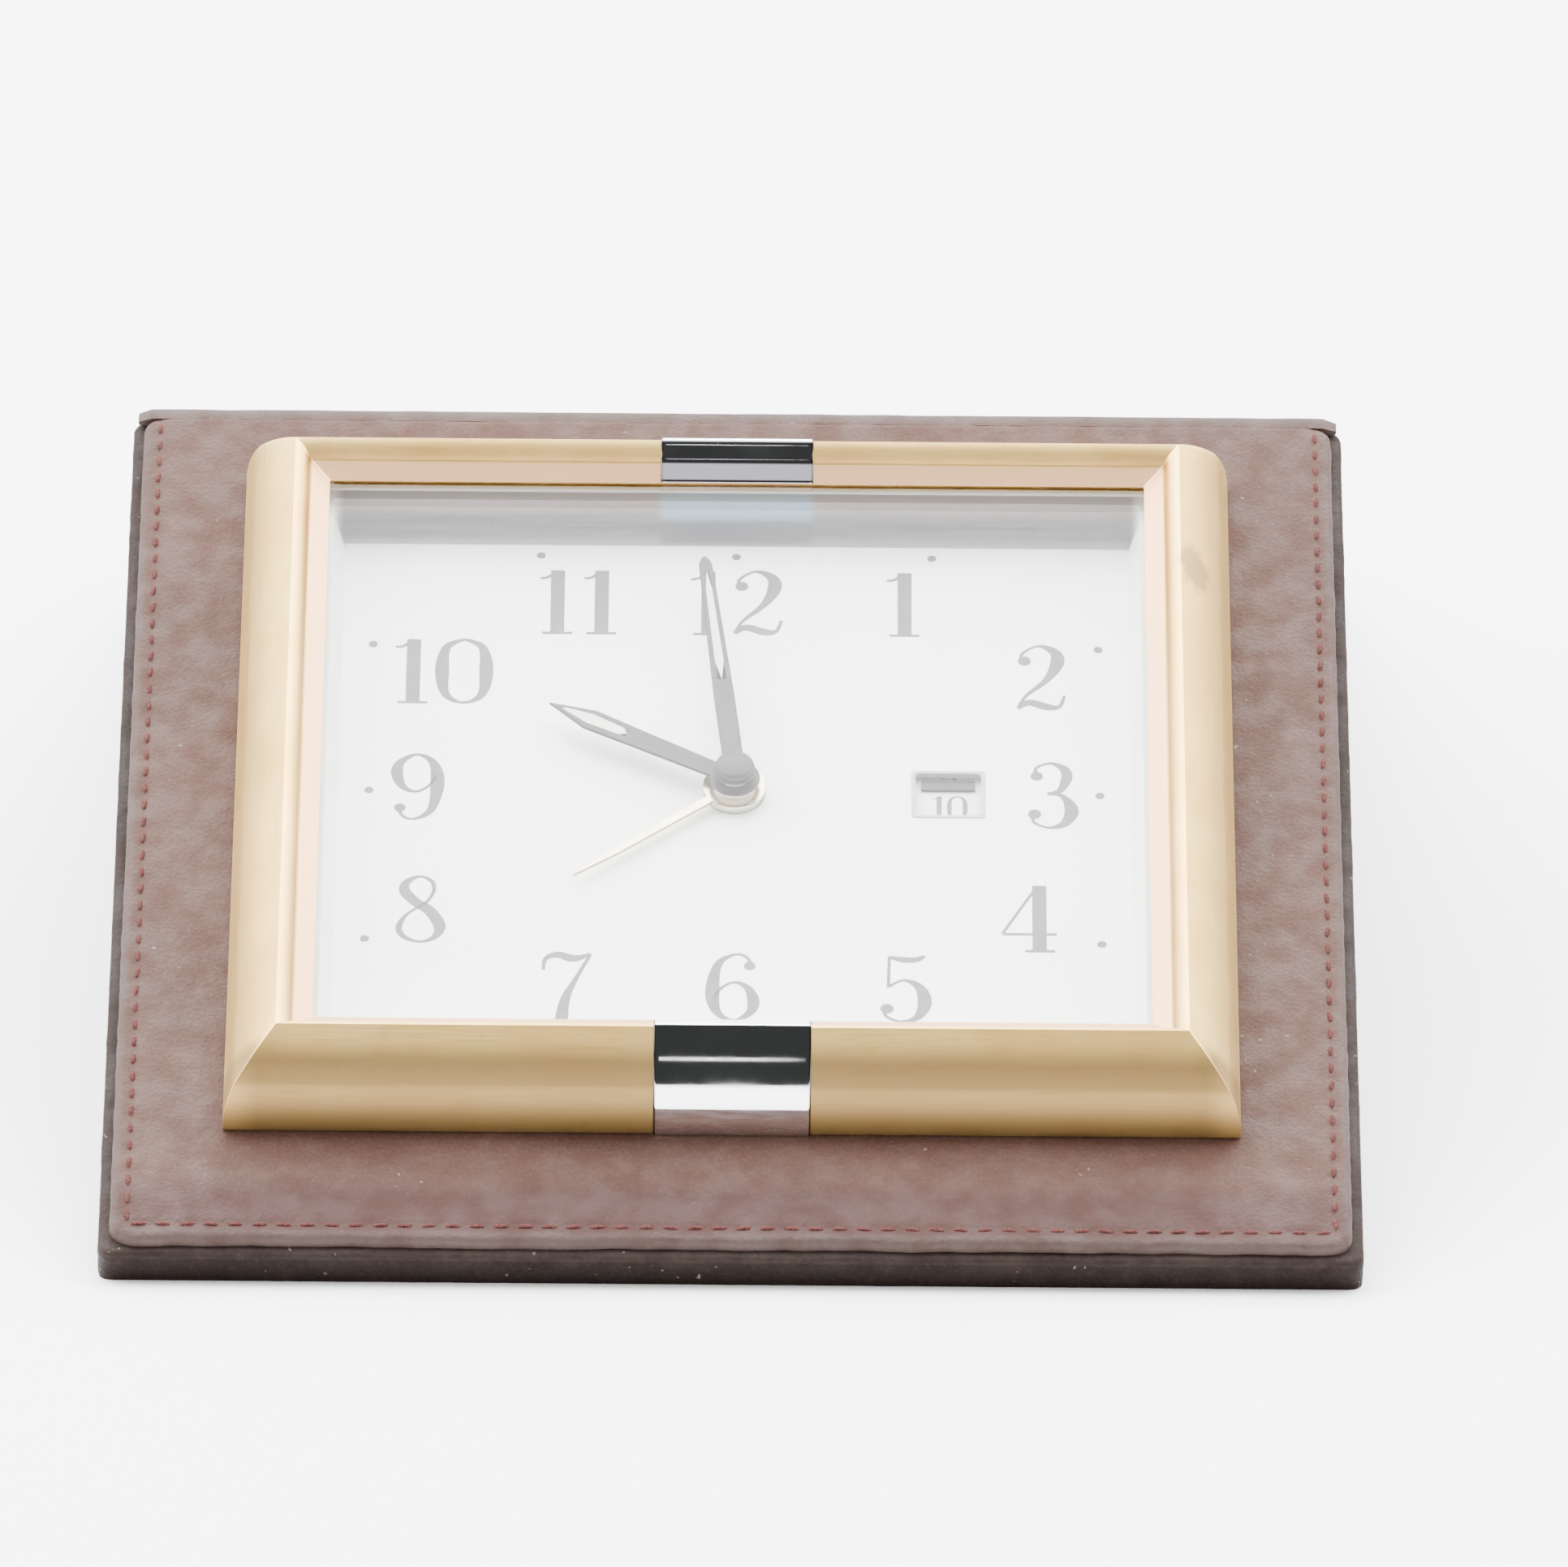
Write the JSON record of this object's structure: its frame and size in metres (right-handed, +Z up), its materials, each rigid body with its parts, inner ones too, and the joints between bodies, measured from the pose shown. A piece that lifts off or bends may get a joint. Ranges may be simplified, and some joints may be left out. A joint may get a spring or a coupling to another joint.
{
  "type": "travel alarm clock",
  "caption": "Folding travel alarm clock: a rectangular dial in a gilt bezel set in a leather leaf, propped by a hinged leather cover.",
  "frame": {"origin": "bottom centre of the whole object's bounding box, in the standing pose", "axes": "+X to the clock's right as seen from the front, +Y from the front edge back to the cover's free edge, +Z up"},
  "size_m": [0.112, 0.2067, 0.0526],
  "materials": {
    "board": "matt greyboard",
    "dark_leather": "smooth dark leather",
    "brown_leather": "fine-grained worn leather",
    "thread": "waxed thread",
    "gilt": "satin, brushed",
    "bright": "polished",
    "clear": "flat, clear",
    "seal": "matt, milky white",
    "surround": "satin off-white",
    "dial_white": "satin lacquer",
    "date_white": "matt, printed",
    "hand_dark": "satin black",
    "hand_gilt": "polished",
    "glow": "chalky luminous fill",
    "gear_white": "moulded",
    "steel": "plain",
    "movement_black": "moulded",
    "case_black": "fine texture",
    "copper": "enamelled copper wire",
    "circuit_green": "solder mask",
    "gold_contact": "plated spring strip"
  },
  "bodies": {
    "leaf": {"front_board": "board", "front_binding": "dark_leather", "face_leather": "brown_leather", "edge_stitching": "thread", "bezel_frame": "gilt", "top_insert": "bright", "bottom_insert": "bright", "crystal": "clear", "crystal_seal": "seal", "dial_surround": "surround", "dial": "dial_white", "dial_spacer": "movement_black", "date_ring_seat": "gear_white", "main_plate": "movement_black", "train_bridge": "movement_black", "plate_posts": "steel", "bridge_screws": "steel", "stator": "steel", "coil_bobbin": "movement_black", "coil_winding": "copper", "circuit_board": "circuit_green", "clock_chip": "movement_black", "quartz_can": "steel", "coin_cell": "steel", "negative_contact": "gold_contact", "positive_contact": "gold_contact", "buzzer_cup": "movement_black", "buzzer_disc": "gold_contact", "clock_case": "case_black", "clamp_frame": "steel", "clamp_screws": "steel", "back_cover": "case_black", "back_screws": "steel"},
    "minute": {"centre_wheel": "gear_white", "cannon_pinion": "gear_white", "minute_hand": "hand_dark", "minute_glow": "glow", "hand_cap": "hand_dark"},
    "hour": {"hour_wheel": "gear_white", "hour_hand": "hand_dark", "hour_glow": "glow"},
    "alarm": {"alarm_wheel": "gear_white", "alarm_hand": "hand_gilt"},
    "minute_gear": {"minute_wheel": "gear_white"},
    "first_gear": {"first_wheel": "gear_white"},
    "second_gear": {"second_wheel": "gear_white"},
    "rotor": {"step_rotor": "gear_white"},
    "time_setter": {"time_pinion": "gear_white", "time_knob": "case_black"},
    "alarm_setter": {"alarm_pinion": "gear_white", "alarm_knob": "case_black"},
    "date": {"date_ring": "date_white"},
    "date_push": {"date_button": "case_black"},
    "alarm_slide": {"alarm_switch": "case_black"},
    "door": {"battery_door": "case_black"},
    "spine": {"spine_leather": "brown_leather"},
    "cover": {"cover_binding": "dark_leather", "cover_board": "board", "cover_leather": "brown_leather", "cover_stitching": "thread"}
  },
  "joints": [
    {"name": "minute_spin", "type": "hinge", "parent": "leaf", "child": "minute", "pos_m": [0, -0.05254, 0.02818], "axis": [0, -0.4226, 0.9063], "continuous": true},
    {"name": "hour_spin", "type": "hinge", "parent": "leaf", "child": "hour", "pos_m": [0, -0.05254, 0.02818], "axis": [0, -0.4226, 0.9063], "continuous": true},
    {"name": "alarm_spin", "type": "hinge", "parent": "leaf", "child": "alarm", "pos_m": [0, -0.05254, 0.02818], "axis": [0, -0.4226, 0.9063], "continuous": true},
    {"name": "minute_gear_spin", "type": "hinge", "parent": "leaf", "child": "minute_gear", "pos_m": [-0.00167, -0.06111, 0.02419], "axis": [0, -0.4226, 0.9063], "continuous": true},
    {"name": "first_gear_spin", "type": "hinge", "parent": "leaf", "child": "first_gear", "pos_m": [-0.00779, -0.04846, 0.03009], "axis": [0, -0.4226, 0.9063], "continuous": true},
    {"name": "second_gear_spin", "type": "hinge", "parent": "leaf", "child": "second_gear", "pos_m": [-0.00779, -0.04166, 0.03325], "axis": [0, -0.4226, 0.9063], "continuous": true},
    {"name": "rotor_spin", "type": "hinge", "parent": "leaf", "child": "rotor", "pos_m": [-0.01379, -0.04166, 0.03325], "axis": [0, -0.4226, 0.9063], "continuous": true},
    {"name": "time_knob_spin", "type": "hinge", "parent": "leaf", "child": "time_setter", "pos_m": [-0.01074, -0.05828, 0.02551], "axis": [0, -0.4226, 0.9063], "continuous": true},
    {"name": "alarm_knob_spin", "type": "hinge", "parent": "leaf", "child": "alarm_setter", "pos_m": [0.01015, -0.04919, 0.02974], "axis": [0, -0.4226, 0.9063], "continuous": true},
    {"name": "date_spin", "type": "hinge", "parent": "leaf", "child": "date", "pos_m": [0, -0.05254, 0.02818], "axis": [0, -0.4226, 0.9063], "continuous": true},
    {"name": "date_button_slide", "type": "slide", "parent": "leaf", "child": "date_push", "axis": [0, -0.4226, 0.9063], "range_m": [0, 0.001], "stiffness_N_per_m": 400},
    {"name": "alarm_switch_slide", "type": "slide", "parent": "leaf", "child": "alarm_slide", "axis": [1, 0, 0], "range_m": [0, 0.004]},
    {"name": "battery_door_turn", "type": "hinge", "parent": "leaf", "child": "door", "pos_m": [0.024, -0.07067, 0.01973], "axis": [0, -0.4226, 0.9063], "range_deg": [0, 60]},
    {"name": "spine_hinge", "type": "hinge", "parent": "leaf", "child": "spine", "pos_m": [0, -0.00539, 0.0494], "axis": [1, 0, 0], "range_deg": [0, 180]},
    {"name": "cover_hinge", "type": "hinge", "parent": "spine", "child": "cover", "pos_m": [0, 0.0007, 0.03635], "axis": [1, 0, 0], "range_deg": [-135.69, 44.31]}
  ],
  "couplings": [
    {"joint": "minute_spin", "follows": "first_gear_spin", "ratio": -0.2},
    {"joint": "hour_spin", "follows": "first_gear_spin", "ratio": -0.016667},
    {"joint": "minute_gear_spin", "follows": "first_gear_spin", "ratio": 0.066667},
    {"joint": "time_knob_spin", "follows": "first_gear_spin", "ratio": -0.2},
    {"joint": "second_gear_spin", "follows": "first_gear_spin", "ratio": -4},
    {"joint": "rotor_spin", "follows": "first_gear_spin", "ratio": 12},
    {"joint": "alarm_spin", "follows": "alarm_knob_spin", "ratio": -0.35}
  ]
}
